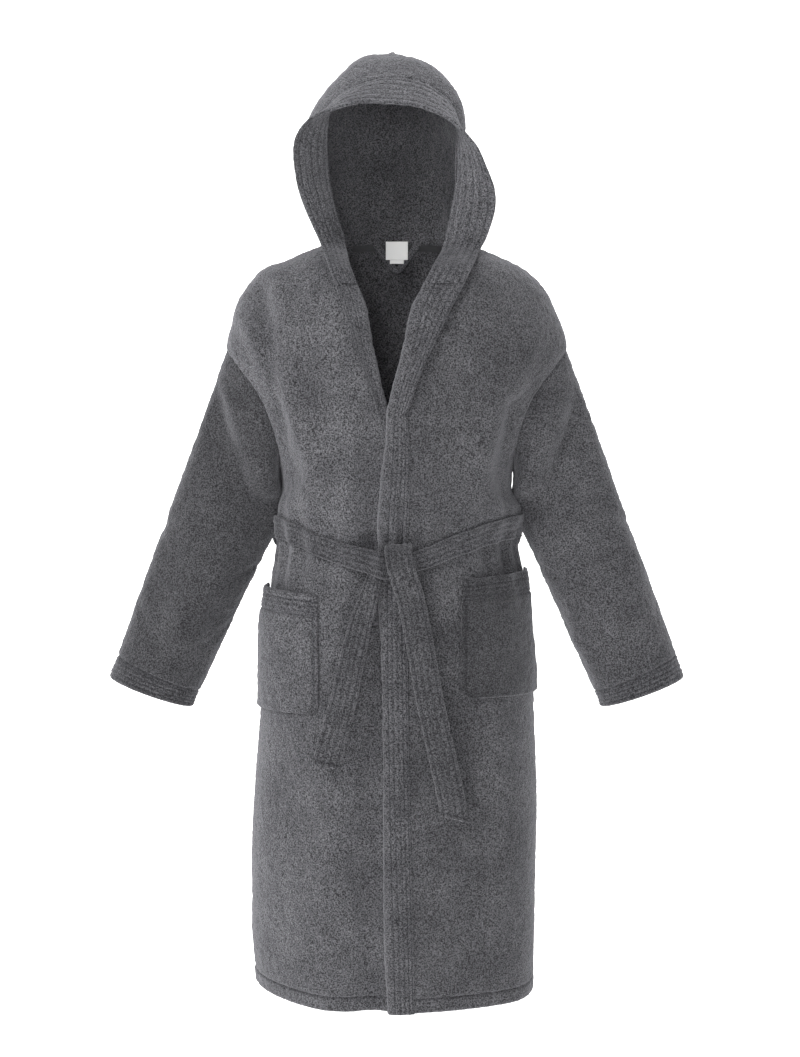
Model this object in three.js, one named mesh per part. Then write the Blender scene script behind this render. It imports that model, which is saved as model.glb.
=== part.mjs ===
// A hooded towelling bathrobe, modelled as it stands on an unseen wearer, with its belt tied.
// Millimetres, +Z up, front towards -Y, the wearer's left at +X. The origin is the middle of the
// neck opening, level with the shoulder ends of the neck seam, where the wearer's neck carries it.
// Every panel is a sheet of cloth: a thin box bent onto a surface, one solid for each cut piece.

import * as THREE from "three";

// ---- Driving dimensions ----

const CLOTH = 4; // one layer of towelling, pile included
const FACING = 5; // the folded and stitched bands
const SEAM_GAP = 0.4; // between pieces that are sewn edge to edge, on each side of the seam
const LAYER_GAP = 0.6; // between layers that lie on each other
const ROUNDNESS = 2.2; // exponent of the body's level sections

const HEM_Z = -1150; // heights are from the neck opening, so they are negative on the body
const WAIST_Z = -445;
const ARMPIT_Z = -352;
const ARMHOLE_TOP_Z = -166;
const NECK_Z = -5;
const HALF_WIDTH = 224; // of the skirt, at its widest
const DEPTH = 146; // of the skirt in front, at its hem

// Level sections of the body, from the hem up: height, half width, depth in front and behind. The
// skirt's heights are shares of the way to the waist, and all widths and depths shares of the
// skirt's own.
const LEVELS = [
  [0, 0.978, 1, 1.041],
  [0.156, 0.996, 1, 1.041],
  [0.355, 1, 0.966, 1.014],
  [0.582, 0.969, 0.904, 0.959],
  [0.78, 0.911, 0.836, 0.877],
  [0.915, 0.844, 0.781, 0.808],
  [1, 0.821, 0.767, 0.781],
].map(([share, ...sizes]) => [HEM_Z + share * (WAIST_Z - HEM_Z), ...sizes]).concat([
  [ARMPIT_Z, 0.804, 0.815, 0.836],
  [-260, 0.991, 0.829, 0.863],
  [ARMHOLE_TOP_Z, 1.17, 0.795, 0.836],
  [-104, 1.085, 0.733, 0.795],
  [-70, 1.009, 0.678, 0.753],
  [-42, 0.871, 0.603, 0.705],
  [-20, 0.67, 0.479, 0.644],
  [NECK_Z, 0.5, 0.315, 0.575],
]).map(([z, width, front, behind]) => [z, width * HALF_WIDTH, front * DEPTH, behind * DEPTH]);
const HEM = 0;
const ARMPIT = LEVELS.findIndex(([z]) => z === ARMPIT_Z);
const ARMHOLE_TOP = LEVELS.findIndex(([z]) => z === ARMHOLE_TOP_Z);
const NECK = LEVELS.length - 1;
const HEM_DIP = 11; // the hem hangs this much lower in front than at the sides
const HEM_HEIGHT = 20; // the turned-up hem
const NAPE_RISE = 16; // the neck seam is this much higher behind than at the sides
const COLLAR_Z = -24; // the fronts and their bands end here, under the hood's base

const ARMHOLE_DEPTH = 60; // half the armhole's width, front to back
const SLEEVE_GAP = 3.5; // between the armhole's edge and the sleeve head, which turns there
const CUFF_CENTRE = [379, -28, -692];
const CUFF_HALF_WIDTH = 68;
const CUFF_HALF_DEPTH = 64;
const CUFF_SLOPE = THREE.MathUtils.degToRad(20); // the cuff's opening, from level
const CUFF_FACING = 34;

const BAND_WIDTH = 45; // the stitched bands along the front edges
const BAND_GAP = 2.2; // from a front panel to the band on it
const UNDERLAP = 78; // how far the right front lies under the left one, past its edge
const UNDERLAP_TUCK = 13; // how deep the underlap lies below the left front
const TUCK_HEIGHTS = [-254, -190]; // it is that deep below the first of these, and not above the second
const TUCK_RUN = [55, 6]; // it sinks between these distances before the left front's edge

const POCKET_HEIGHT = 184;
const POCKET_BULGE = 15;
const POCKET_HEM = 34;
const POCKET_SIDE_DEPTH = 9; // a pocket's outer edge lies this far in front of the side seam
const POCKET_SLOPE = 12; // the mouth falls this much towards the middle
const POCKETS = { // the inner edge's place, and the mouth's drop from the waist
  right: { side: -1, edgeX: -116, drop: 87 },
  left: { side: 1, edgeX: 96, drop: 63 },
};

const BELT_WIDTH = 45;
const BELT_THICKNESS = 6;
const BELT_SIDE_Z = WAIST_Z; // the belt's middle at the side seams
const KNOT_Z = -499;
const KNOT_X = -4;
const KNOT_HALF = [27, 15, 24];
const BELT_FALL = [10, 178]; // the belt falls towards the knot between these distances from the middle
const BELT_OVER_BANDS = [36, 70]; // it comes down off the bands between these
const TAIL_THICKNESS = 5;
const BELT_ENDS = { // pivot under the knot: place and rise; lower end: place and height
  right: { x: -40, rise: 8, end: [-104, -790], y: -157, slant: 8 },
  left: { x: 20, rise: 0, end: [87, -873], y: -167, slant: 4 },
};
const BELT_LOOP_HEIGHT = 62;
const BELT_LOOP_WIDTH = 14;
const BELT_LOOP_THICKNESS = 2.5;

const LABEL = { width: 35, height: 29, thickness: 0.8 };
const CARE_LABEL = { width: 22, height: 35, thickness: 0.6 };
const HANGING_LOOP = { halfWidth: 38, drop: 52, strip: 9, thickness: 2, taper: 0.3 };
const NECK_TAPE = { halfWidth: 72, height: 10, thickness: 1 };

// ---- Materials ----

const cloth = (color) => new THREE.MeshStandardMaterial({ color, roughness: 0.95, metalness: 0 });
const TOWELLING = cloth(0x56555a);
const INSIDE = cloth(0x4c4b50);
const BANDS = cloth(0x535257);
const TAPE = cloth(0x3d3d40);
const LABEL_WHITE = cloth(0xe8e8e6);

// ---- Small tools ----

const { lerp, clamp, smoothstep } = THREE.MathUtils;
const vector = (x, y, z) => new THREE.Vector3(x, y, z);

// A smooth curve y(x) through points [x, y], which are given in order of x.
function graph(points) {
  const slope = (i) => {
    const a = points[Math.max(i - 1, 0)];
    const b = points[Math.min(i + 1, points.length - 1)];
    return (b[1] - a[1]) / (b[0] - a[0]);
  };
  return (x) => {
    let i = points.findIndex((p) => p[0] > x) - 1;
    if (i < -1) i = points.length - 2;
    i = clamp(i, 0, points.length - 2);
    const [x0, y0] = points[i];
    const [x1, y1] = points[i + 1];
    const t = clamp((x - x0) / (x1 - x0), 0, 1);
    const h = x1 - x0;
    const bend0 = (2 * t ** 3 - 3 * t ** 2 + 1) * y0 + (t ** 3 - 2 * t ** 2 + t) * h * slope(i);
    const bend1 = (3 * t ** 2 - 2 * t ** 3) * y1 + (t ** 3 - t ** 2) * h * slope(i + 1);
    return bend0 + bend1;
  };
}

// The way out of a surface(u, v), which is where u turned towards v points.
function normalOf(surface, u, v) {
  const step = 1e-3;
  const across = surface(Math.min(u + step, 1), v).sub(surface(Math.max(u - step, 0), v));
  const along = surface(u, Math.min(v + step, 1)).sub(surface(u, Math.max(v - step, 0)));
  return across.cross(along).normalize();
}

// A thin box bent so that its front face lies on surface(u, v), lifted off it, and its back lies
// a thickness behind. lift may be a function of u and v, and trim moves the finished points.
function sheet(surface, [columns, rows], thickness = CLOTH, lift = 0, trim = (p) => p) {
  const box = new THREE.BoxGeometry(1, 1, 1, columns, rows, 1);
  const at = box.attributes.position;
  for (let i = 0; i < at.count; i++) {
    const u = at.getX(i) + 0.5;
    const v = at.getY(i) + 0.5;
    const raised = typeof lift === "function" ? lift(u, v) : lift;
    const depth = raised - (0.5 - at.getZ(i)) * thickness;
    const p = trim(surface(u, v).addScaledVector(normalOf(surface, u, v), depth));
    at.setXYZ(i, p.x, p.y, p.z);
  }
  box.computeVertexNormals();
  return box;
}

const robe = new THREE.Group();

function add(name, geometry, material) {
  const mesh = new THREE.Mesh(geometry, material);
  mesh.name = name;
  robe.add(mesh);
  return mesh;
}

// ---- The body's surface ----

const frontProfile = new THREE.CatmullRomCurve3(LEVELS.map(([z, w, f]) => vector(w, f, z)));
const backProfile = new THREE.CatmullRomCurve3(LEVELS.map(([z, w, , b]) => vector(w, b, z)));

// The section at level k, a place in LEVELS that may lie between two of them.
function section(k, behind) {
  const { x: width, y: depth, z } = (behind ? backProfile : frontProfile).getPoint(k / NECK);
  return { width, depth, z };
}

// The level at which the side of the body has this height.
function levelAt(z) {
  let [low, high] = [HEM, NECK];
  for (let i = 0; i < 40; i++) {
    const middle = (low + high) / 2;
    if (section(middle, false).z < z) low = middle;
    else high = middle;
  }
  return low;
}

// A point of the body at level k: angle 0 is the right side, a quarter turn the middle, and half
// a turn the left side.
function bodyPoint(k, angle, behind) {
  const { width, depth, z } = section(k, behind);
  const [c, s] = [Math.cos(angle), Math.max(Math.sin(angle), 0)];
  const power = 2 / ROUNDNESS;
  const x = -Math.sign(c) * width * Math.abs(c) ** power;
  const y = (behind ? 1 : -1) * depth * s ** power;
  const dip = behind ? 0 : HEM_DIP * s * clamp(1 - k, 0, 1);
  const rise = behind ? NAPE_RISE * s * smoothstep(k, NECK - 3, NECK) : 0;
  return vector(x, y, z - dip + rise);
}

// The angle of the body's point that lies at x, and of the one that lies this deep in front or behind.
function angleAtX(k, x, behind) {
  const share = clamp(-x / section(k, behind).width, -1, 1);
  return Math.acos(Math.sign(share) * Math.abs(share) ** (ROUNDNESS / 2));
}
function angleAtDepth(k, depth, behind) {
  return Math.asin(clamp(depth / section(k, behind).depth, 0, 1) ** (ROUNDNESS / 2));
}

// How far a panel's side edge stays from the side seam: nothing but the seam, or half the armhole.
function sideDepth(k) {
  const share = clamp((ARMHOLE_TOP - k) / (ARMHOLE_TOP - ARMPIT), 0, 1);
  return Math.max(SEAM_GAP, ARMHOLE_DEPTH * Math.sqrt(4 * share * (1 - share)));
}
const sideAngle = (k, behind) => angleAtDepth(k, sideDepth(k), behind);

// ---- Front edges: heights and places of the roll line and of the free edge ----

// The left front lies on top. Its edge is the closure, and turns over as a lapel above it.
const leftRoll = graph([
  [-1161, -18], [-820, -26], [-480, -29], [-310, -19], [-257, -15], [-183, 6], [-109, 21],
  [-78, 35], [-29, 59], [0, 74],
]);
const leftFree = graph([
  [-1161, 27], [-820, 19], [-480, 16], [-330, 20], [-270, 16], [-241, 24], [-197, 40],
  [-158, 58], [-108, 82], [-70, 102], [-15, 127], [0, 131],
]);
// The right front lies under it below the lapel, and its edge is hidden.
const rightRoll = graph([
  [-1161, UNDERLAP - 18], [-420, UNDERLAP - 29], [-340, 22], [-257, -10], [-172, -32],
  [-103, -44], [-48, -65], [0, -80],
]);
const rightFree = graph([
  [-1161, UNDERLAP - 18 - BAND_WIDTH], [-420, UNDERLAP - 29 - BAND_WIDTH], [-330, -10],
  [-265, -30], [-227, -42], [-186, -56], [-129, -72], [-72, -92], [-15, -113], [0, -116],
]);

// The underlap sinks below the left front, smoothly, where it passes its edge.
function tuck(p) {
  const low = 1 - smoothstep(p.z, ...TUCK_HEIGHTS);
  const [start, end] = TUCK_RUN.map((run) => leftRoll(p.z) - run);
  const across = smoothstep(p.x, start, end);
  p.y += UNDERLAP_TUCK * low * across;
  return p;
}

// ---- Body panels ----

const HEM_TOP = levelAt(HEM_Z + HEM_HEIGHT);
const HEM_SEAM = 0.01; // levels between a panel and its hem
const FRONT_TOP = levelAt(COLLAR_Z);
const BODY_ROWS = 30;

// A panel's surface between two levels.
const back = (from, to) => (u, v) => {
  const k = lerp(from, to, v);
  const edge = sideAngle(k, true);
  return bodyPoint(k, lerp(Math.PI - edge, edge, u), true);
};

const rightFront = (from, to) => (u, v) => {
  const k = lerp(from, to, v);
  const edge = angleAtX(k, rightRoll(section(k, false).z) - 1, false);
  return tuck(bodyPoint(k, lerp(sideAngle(k, false), edge, u), false));
};

const leftFront = (from, to) => (u, v) => {
  const k = lerp(from, to, v);
  const edge = angleAtX(k, leftRoll(section(k, false).z) + 1, false);
  return bodyPoint(k, lerp(edge, Math.PI - sideAngle(k, false), u), false);
};

const PANELS = [
  ["back_panel", "hem_back", back, NECK, 20],
  ["front_panel_right", "hem_right", rightFront, FRONT_TOP, 18],
  ["front_panel_left", "hem_left", leftFront, FRONT_TOP, 10],
];
for (const [panel, hem, surface, top, columns] of PANELS) {
  add(panel, sheet(surface(HEM_TOP + HEM_SEAM, top), [columns, BODY_ROWS]), TOWELLING);
  add(hem, sheet(surface(HEM, HEM_TOP - HEM_SEAM), [columns, 1]), BANDS);
}

// ---- Front bands: folded strips on the panels' edges, which turn over as lapels by the neck ----

const BAND_LIFT = BAND_GAP + FACING;

function rightBandSurface(u, v) {
  const k = lerp(HEM, FRONT_TOP, v);
  const z = section(k, false).z;
  const [outer, inner] = [angleAtX(k, rightFree(z), false), angleAtX(k, rightRoll(z), false)];
  return tuck(bodyPoint(k, lerp(outer, inner, u), false));
}

function leftBandSurface(u, v) {
  const k = lerp(HEM, FRONT_TOP, v);
  const z = section(k, false).z;
  const [inner, outer] = [angleAtX(k, leftRoll(z), false), angleAtX(k, leftFree(z), false)];
  return bodyPoint(k, lerp(inner, outer, u), false);
}

add("front_band_right", sheet(rightBandSurface, [6, BODY_ROWS], FACING, BAND_LIFT), BANDS);
add("front_band_left", sheet(leftBandSurface, [4, BODY_ROWS], FACING, BAND_LIFT), BANDS);

// ---- Sleeves: ruled from the armhole to the cuff, sewn shut along the underarm ----

// A point of the armhole: turn 0 is its top, half a turn the armpit, and the front comes first.
function armholePoint(turn, side) {
  const share = (1 - Math.cos(turn)) / 2;
  const k = lerp(ARMHOLE_TOP, ARMPIT, share);
  const behind = Math.sin(turn) < 0;
  const depth = ARMHOLE_DEPTH * Math.abs(Math.sin(turn));
  const p = bodyPoint(k, angleAtDepth(k, depth, behind), behind);
  return vector(-side * p.x, p.y, p.z);
}

function cuffPoint(turn, side) {
  const [x, y, z] = CUFF_CENTRE;
  const across = CUFF_HALF_WIDTH * Math.cos(turn);
  return vector(
    side * (x + across * Math.cos(CUFF_SLOPE)),
    y - CUFF_HALF_DEPTH * Math.sin(turn),
    z + across * Math.sin(CUFF_SLOPE),
  );
}

const SLEEVE_LENGTH = armholePoint(0, 1).distanceTo(cuffPoint(0, 1));
const SLEEVE_START = SLEEVE_GAP / SLEEVE_LENGTH;
const CUFF_START = 1 - CUFF_FACING / SLEEVE_LENGTH;
const UNDERARM_GAP = 0.008; // radians each side of the underarm seam

// side is -1 for the right sleeve and 1 for the left. u goes round and v along, downwards.
function sleeveSurface(side, from, to) {
  return (u, v) => {
    const round = lerp(Math.PI - UNDERARM_GAP, UNDERARM_GAP - Math.PI, side < 0 ? 1 - u : u);
    const share = lerp(from, to, 1 - v);
    return armholePoint(round, side).lerp(cuffPoint(round, side), share);
  };
}

for (const [name, side] of [["right", -1], ["left", 1]]) {
  const seam = SEAM_GAP / SLEEVE_LENGTH;
  const sleeve = sleeveSurface(side, SLEEVE_START, CUFF_START - seam);
  const cuff = sleeveSurface(side, CUFF_START + seam, 1);
  add(`sleeve_${name}`, sheet(sleeve, [24, 8]), TOWELLING);
  add(`cuff_${name}`, sheet(cuff, [24, 1], FACING, 0.5), BANDS);
}

// ---- Hood: two halves with a seam over the crown, and a stitched band round the face ----

const spline = (points) => new THREE.CatmullRomCurve3(points.map((p) => vector(...p)));
const HOOD_SEAM = 0.4; // half the gap at the crown seam
const HOOD_BAND_GAP = 1.5; // each side of the seam between the hood and its band
const HOOD_BULGE = { out: 26, up: 52 }; // roundness of each half, at its middle

const CROWN = spline([
  [0, -64, 240], [0, -26, 279], [0, 24, 298], [0, 78, 287], [0, 116, 245], [0, 130, 190],
]);
const NAPE = spline([[0, 104, 70], [0, 124, 128], [0, 130, 190]]);
// Each side has its free edge and the band's inner edge, from the neck to the top of the face.
const HOOD_EDGES = {
  right: {
    side: -1,
    free: [
      [-114, -42, -4], [-125, -62, 13], [-137, -82, 40], [-146, -96, 68], [-151, -103, 98],
      [-152, -105, 127], [-145, -104, 150], [-122, -103, 174], [-88, -103, 187], [-45, -103, 192],
      [0, -103, 193],
    ],
    inner: [
      [-78, -30, 3], [-90, -44, 34], [-101, -55, 76], [-106, -60, 120], [-106, -60, 160],
      [-98, -60, 193], [-76, -61, 217], [-40, -63, 234], [0, -64, 240],
    ],
  },
  left: {
    side: 1,
    free: [
      [131, -42, -4], [140, -66, 12], [147, -86, 40], [145, -96, 68], [134, -102, 97],
      [120, -103, 126], [101, -103, 149], [76, -103, 170], [48, -103, 182], [20, -103, 191],
      [0, -103, 193],
    ],
    inner: [
      [73, -30, 3], [82, -44, 34], [90, -55, 76], [93, -60, 118], [94, -60, 152], [88, -60, 184],
      [70, -61, 210], [38, -63, 230], [0, -64, 240],
    ],
  },
};
// The hood's lower edge runs from the band round the side of the neck. Behind, it rises over the
// cloth that folds on the nape when the hood falls back, so that the two can turn past each other.
const hoodBase = (side, start) => spline([
  start, [side * 101, -14, 4], [side * 106, 24, 14], [side * 92, 60, 40], [side * 50, 92, 62],
  [0, 104, 70],
]);

// A rounded surface between four edges: base and crown run back, and front and nape run up.
function patch(side, base, crown, front, nape) {
  return (u, v) => {
    const round = Math.sin(Math.PI * v) * (1 - (2 * u - 1) ** 4);
    const p = base.getPoint(u).multiplyScalar(1 - v);
    p.addScaledVector(crown.getPoint(u), v);
    p.addScaledVector(front.getPoint(v), 1 - u);
    p.addScaledVector(nape.getPoint(v), u);
    p.addScaledVector(base.getPoint(0), -(1 - u) * (1 - v));
    p.addScaledVector(base.getPoint(1), -u * (1 - v));
    p.addScaledVector(crown.getPoint(0), -(1 - u) * v);
    p.addScaledVector(crown.getPoint(1), -u * v);
    return p.add(vector(side * HOOD_BULGE.out * round, 0, HOOD_BULGE.up * round));
  };
}

for (const [name, { side, inner }] of Object.entries(HOOD_EDGES)) {
  const front = spline(inner.map(([x, y, z]) => [x, y + HOOD_BAND_GAP, z]));
  const whole = patch(side, hoodBase(side, inner[0]), CROWN, front, NAPE);
  const half = side < 0 ? (u, v) => whole(1 - u, v) : whole;
  const trimAtSeam = (p) => p.setX(side * Math.max(side * p.x, HOOD_SEAM));
  add(`hood_${name}`, sheet(half, [10, 12], CLOTH, 0, trimAtSeam), INSIDE);
}

// The band runs from the right of the neck over the face to the left, u from free edge to inner.
function hoodBandSurface(u, v) {
  const { right, left } = HOOD_EDGES;
  const edges = v < 0.5 ? right : left;
  const share = v < 0.5 ? 2 * v : 2 - 2 * v;
  const free = spline(edges.free).getPoint(share);
  const inner = spline(edges.inner.map(([x, y, z]) => [x, y - HOOD_BAND_GAP, z])).getPoint(share);
  return free.lerp(inner, u);
}
add("hood_band", sheet((u, v) => hoodBandSurface(1 - u, v), [3, 36], FACING, 0.5), BANDS);

// ---- Pockets: patches on the fronts, open at the top, with a stitched hem ----

// side is -1 for the right pocket, and top is the mouth's height.
function pocketSurface(side, edgeX, top) {
  return (u, v) => {
    const inward = side < 0 ? u : 1 - u;
    const z = lerp(top - POCKET_HEIGHT, top, v) - POCKET_SLOPE * v * (inward - 0.5);
    const k = levelAt(z);
    const edge = angleAtX(k, -Math.abs(edgeX), false);
    const angle = lerp(angleAtDepth(k, POCKET_SIDE_DEPTH, false), edge, inward);
    return bodyPoint(k, side < 0 ? angle : Math.PI - angle, false);
  };
}

const pocketLift = (v0, v1) => (u, v) => {
  const height = lerp(v0, v1, v);
  const bulge = POCKET_BULGE * Math.sin(Math.PI * u) * smoothstep(height, -0.1, 0.9);
  return LAYER_GAP + CLOTH + bulge;
};

for (const [name, { side, edgeX, drop }] of Object.entries(POCKETS)) {
  const split = 1 - POCKET_HEM / POCKET_HEIGHT;
  const bag = pocketSurface(side, edgeX, WAIST_Z - drop);
  const seam = SEAM_GAP / POCKET_HEIGHT;
  const body = (u, v) => bag(u, lerp(0, split - seam, v));
  const hem = (u, v) => bag(u, lerp(split + seam, 1, v));
  add(`pocket_${name}`, sheet(body, [8, 6], CLOTH, pocketLift(0, split - seam)), TOWELLING);
  add(`pocket_hem_${name}`, sheet(hem, [8, 2], CLOTH, pocketLift(split + seam, 1)), BANDS);
}

// ---- Belt: a flat tie round the waist, knotted in front, with two hanging ends ----

const BELT_GAP = 1.5; // from the robe to the belt
const KNOT_MARGIN = 3;

// Height of the belt's middle at an angle round the body, which falls towards the knot.
const beltZ = (x) => lerp(KNOT_Z, BELT_SIDE_Z, smoothstep(Math.abs(x), ...BELT_FALL));

// The belt's angle when it has gone this many quarters of the way round, from the knot to the right.
function beltAngle(round) {
  const gap = KNOT_HALF[0] + KNOT_MARGIN;
  if (round < 1) return lerp(angleAtX(levelAt(KNOT_Z), KNOT_X - gap, false), 0, round);
  if (round <= 3) return ((round - 1) * Math.PI) / 2;
  return lerp(Math.PI, angleAtX(levelAt(KNOT_Z), KNOT_X + gap, false), round - 3);
}

function beltSurface(u, v) {
  const round = lerp(4, 0, u);
  const behind = round > 1 && round < 3;
  const angle = beltAngle(round);
  const middle = bodyPoint(levelAt(BELT_SIDE_Z), angle, behind);
  const z = (behind ? BELT_SIDE_Z : beltZ(middle.x)) + lerp(-BELT_WIDTH / 2, BELT_WIDTH / 2, v);
  const p = bodyPoint(levelAt(z), angle, behind);
  return vector(p.x, p.y, z);
}
const overBands = (u, v) => {
  const near = 1 - smoothstep(Math.abs(beltSurface(u, v).x), ...BELT_OVER_BANDS);
  const front = beltSurface(u, v).y < 0 ? near : 0;
  return BELT_GAP + BELT_THICKNESS + (BAND_LIFT + 0.5) * front;
};
add("belt_waist", sheet(beltSurface, [48, 2], BELT_THICKNESS, overBands), BANDS);

const KNOT_Y = -(section(levelAt(KNOT_Z), false).depth + BAND_LIFT + 2 + KNOT_HALF[1]);
const knot = new THREE.SphereGeometry(1, 16, 10);
knot.scale(...KNOT_HALF);
knot.translate(KNOT_X, KNOT_Y, KNOT_Z);
add("belt_knot", knot, BANDS);

const KNOT_BOTTOM = KNOT_Z - KNOT_HALF[2];
const TAIL_DROP = BELT_WIDTH / 2 + 2; // from the knot's underside to a pivot

// A hanging end: a strip in an upright plane, round at the top about its pivot under the knot.
function tail(name, { x, rise, end, y, slant }) {
  const top = KNOT_BOTTOM - TAIL_DROP + rise;
  const run = vector(end[0] - x, 0, end[1] - top);
  const half = BELT_WIDTH / 2;
  const outline = new THREE.Shape();
  outline.moveTo(-half, 0);
  outline.lineTo(-half, -run.length() + slant);
  outline.lineTo(half, -run.length() - slant);
  outline.lineTo(half, 0);
  outline.absarc(0, 0, half, 0, Math.PI, false);
  const strip = new THREE.ExtrudeGeometry(outline, {
    depth: TAIL_THICKNESS, bevelEnabled: false, curveSegments: 12,
  });
  strip.rotateX(Math.PI / 2); // the outline now stands in the XZ plane
  const mesh = add(name, strip, BANDS);
  mesh.rotation.y = Math.atan2(-run.x, -run.z);
  mesh.position.set(x, y + TAIL_THICKNESS, top);
}
for (const [name, size] of Object.entries(BELT_ENDS)) tail(`belt_end_${name}`, size);

// ---- Belt loops: narrow straps on the side seams, which the belt runs through ----

for (const [name, side] of [["right", -1], ["left", 1]]) {
  const wall = (z) => section(levelAt(z), false).width + LAYER_GAP;
  const outside = wall(BELT_SIDE_Z) + 2 * BELT_GAP + BELT_THICKNESS;
  const [bottom, top] = [BELT_SIDE_Z - BELT_LOOP_HEIGHT / 2, BELT_SIDE_Z + BELT_LOOP_HEIGHT / 2];
  const [low, high] = [bottom + BELT_LOOP_THICKNESS, top - BELT_LOOP_THICKNESS];
  const outline = new THREE.Shape([
    [wall(bottom), bottom], [outside + BELT_LOOP_THICKNESS, bottom],
    [outside + BELT_LOOP_THICKNESS, top], [wall(top), top], [wall(top), high],
    [outside, high], [outside, low], [wall(bottom), low],
  ].map(([x, z]) => new THREE.Vector2(x, z)));
  const loop = new THREE.ExtrudeGeometry(outline, { depth: BELT_LOOP_WIDTH, bevelEnabled: false });
  loop.rotateX(Math.PI / 2);
  const mesh = add(`belt_loop_${name}`, loop, TOWELLING);
  mesh.position.y = BELT_LOOP_WIDTH / 2;
  if (side < 0) {
    mesh.rotation.z = Math.PI;
    mesh.position.y = -BELT_LOOP_WIDTH / 2;
  }
}

// ---- Inside the neck: seam tape, hanging loop and labels ----

// The level at which the back's surface at x has this height.
function backLevelAt(x, z) {
  let [low, high] = [ARMHOLE_TOP, NECK];
  for (let i = 0; i < 40; i++) {
    const middle = (low + high) / 2;
    if (bodyPoint(middle, angleAtX(middle, x, true), true).z < z) low = middle;
    else high = middle;
  }
  return low;
}

const NECK_EDGE = 2; // the tape starts this far below the neck seam

function tapeSurface(u, v) {
  const x = lerp(NECK_TAPE.halfWidth, -NECK_TAPE.halfWidth, u);
  const top = bodyPoint(NECK, angleAtX(NECK, x, true), true).z - NECK_EDGE;
  const k = backLevelAt(x, lerp(top - NECK_TAPE.height, top, v));
  return bodyPoint(k, angleAtX(k, x, true), true);
}
const tapeLift = -CLOTH - 2 * LAYER_GAP;
add("neck_tape", sheet(tapeSurface, [12, 1], NECK_TAPE.thickness, tapeLift), TAPE);

// The loop hangs plumb from the seam as a narrow V, and the labels hang in front of it.
const seamZ = NECK_Z + NAPE_RISE - NECK_EDGE;
const loopY = section(NECK, true).depth + tapeLift - NECK_TAPE.thickness - 2 * LAYER_GAP;

const loopSide = (inset) => [
  [inset - HANGING_LOOP.halfWidth, 0],
  [inset * HANGING_LOOP.taper - HANGING_LOOP.strip, inset - HANGING_LOOP.drop],
  [HANGING_LOOP.strip - inset * HANGING_LOOP.taper, inset - HANGING_LOOP.drop],
  [HANGING_LOOP.halfWidth - inset, 0],
].map(([x, z]) => new THREE.Vector2(x, z));
const loopShape = new THREE.Shape([...loopSide(0), ...loopSide(HANGING_LOOP.strip).reverse()]);
const hangingLoop = new THREE.ExtrudeGeometry(loopShape, {
  depth: HANGING_LOOP.thickness, bevelEnabled: false,
});
hangingLoop.rotateX(Math.PI / 2);
add("hanging_loop", hangingLoop, BANDS).position.set(0, loopY, seamZ);

let labelY = loopY - HANGING_LOOP.thickness - LAYER_GAP;
for (const [name, { width, height, thickness }] of [["care_label", CARE_LABEL], ["neck_label", LABEL]]) {
  const label = add(name, new THREE.BoxGeometry(width, thickness, height), LABEL_WHITE);
  label.position.set(0, labelY - thickness / 2, seamZ - height / 2);
  labelY -= thickness + LAYER_GAP;
}

export default robe;
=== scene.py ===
import math
import bmesh
import bpy
import numpy as np
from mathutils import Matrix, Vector


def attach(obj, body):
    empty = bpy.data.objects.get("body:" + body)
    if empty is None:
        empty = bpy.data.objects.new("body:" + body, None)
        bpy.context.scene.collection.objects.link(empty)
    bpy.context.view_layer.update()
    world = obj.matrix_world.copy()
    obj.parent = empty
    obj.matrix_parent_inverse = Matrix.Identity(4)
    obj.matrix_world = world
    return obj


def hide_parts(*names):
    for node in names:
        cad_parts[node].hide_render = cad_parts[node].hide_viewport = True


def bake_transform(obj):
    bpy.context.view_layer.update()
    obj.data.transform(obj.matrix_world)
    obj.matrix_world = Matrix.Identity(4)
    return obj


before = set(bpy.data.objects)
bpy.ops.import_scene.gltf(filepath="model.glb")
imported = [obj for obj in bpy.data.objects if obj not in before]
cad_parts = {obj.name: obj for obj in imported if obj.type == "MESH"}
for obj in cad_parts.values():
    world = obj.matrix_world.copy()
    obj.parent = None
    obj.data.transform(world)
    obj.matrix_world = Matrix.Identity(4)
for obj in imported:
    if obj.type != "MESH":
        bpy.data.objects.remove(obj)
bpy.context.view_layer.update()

# ---- Camera and light ----
# The robe is seen from in front at waist height, from about three metres, in soft white studio
# light that is a little stronger from the upper left. Floor and backdrop are plain white paper.
EYE = Vector((0.005, -2.80, -0.310))
AIM = Vector((0.005, 0.0, -0.442))
VIEW_HEIGHT = 1.642  # at the robe's own distance
SENSOR_HEIGHT = 24
CHEST = Vector((0, 0, -0.4))
FLOOR_Z, FLOOR_REACH = -1.30, 9
BACKDROP_Y, BACKDROP_TOP = 4, 5

camera = bpy.data.objects.new("camera", bpy.data.cameras.new("camera"))
camera.location = EYE
camera.rotation_euler = (AIM - EYE).to_track_quat("-Z", "Y").to_euler()
camera.data.sensor_fit = "VERTICAL"
camera.data.sensor_height = SENSOR_HEIGHT
camera.data.lens = SENSOR_HEIGHT * (AIM - EYE).length / VIEW_HEIGHT
bpy.context.scene.collection.objects.link(camera)
bpy.context.scene.camera = camera
bpy.context.scene.view_settings.view_transform = "Standard"


def lamp(name, place, size, watts):
    """A square soft white light that points at the robe's chest."""
    light = bpy.data.lights.new(name, "AREA")
    light.size = size
    light.energy = watts
    item = bpy.data.objects.new(name, light)
    item.location = place
    item.rotation_euler = (CHEST - Vector(place)).to_track_quat("-Z", "Y").to_euler()
    bpy.context.scene.collection.objects.link(item)


lamp("key_light", (-1.7, -2.0, 2.0), 1.2, 82)
lamp("fill_light", (2.6, -2.2, 0.2), 2.0, 6)
lamp("front_light", (-0.2, -3.3, -0.1), 0.8, 34)
lamp("top_light", (0.0, 0.4, 2.2), 1.6, 40)
lamp("back_light", (0.6, 2.8, 0.8), 2.0, 12)

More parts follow.
